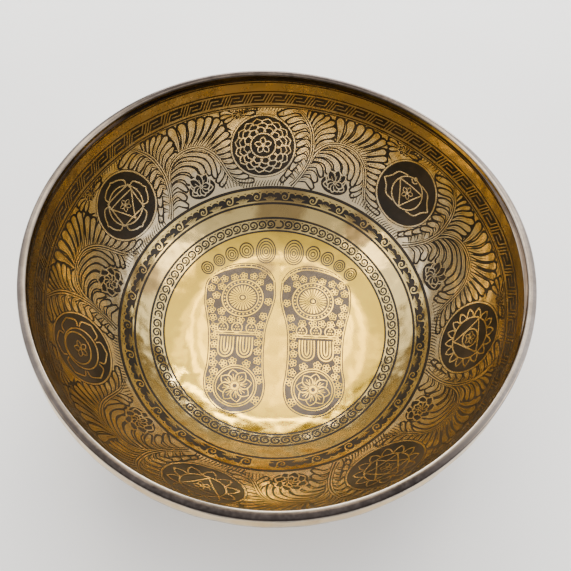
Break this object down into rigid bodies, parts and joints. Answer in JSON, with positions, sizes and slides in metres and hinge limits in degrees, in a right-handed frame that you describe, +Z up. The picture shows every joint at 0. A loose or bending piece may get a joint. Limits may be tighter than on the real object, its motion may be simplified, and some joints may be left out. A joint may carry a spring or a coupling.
{
  "type": "singing bowl",
  "caption": "Wide hammered bronze bowl with a flat thickened lip, flat base, and an inside etched with footprints, scroll bands, leafwork and round medallions.",
  "frame": {"origin": "middle of the flat base, on the surface that the bowl stands on", "axes": "+Z up along the bowl's axis; +Y the way the toes of the two etched footprints point; +X to the right of someone who stands in the footprints"},
  "size_m": [0.35, 0.3498, 0.1413],
  "materials": {
    "hammered_bronze": "hand-hammered and polished to a satin gloss, golden, with brown tarnish in places",
    "etched_patina": "acid-etched ground of the ornament, dark brown patina, slightly glossy",
    "lip_bronze": "filed and scoured flat lip, grey-brown satin with fine scratches along it"
  },
  "bodies": {
    "root": {"bowl": "hammered_bronze"}
  },
  "joints": []
}
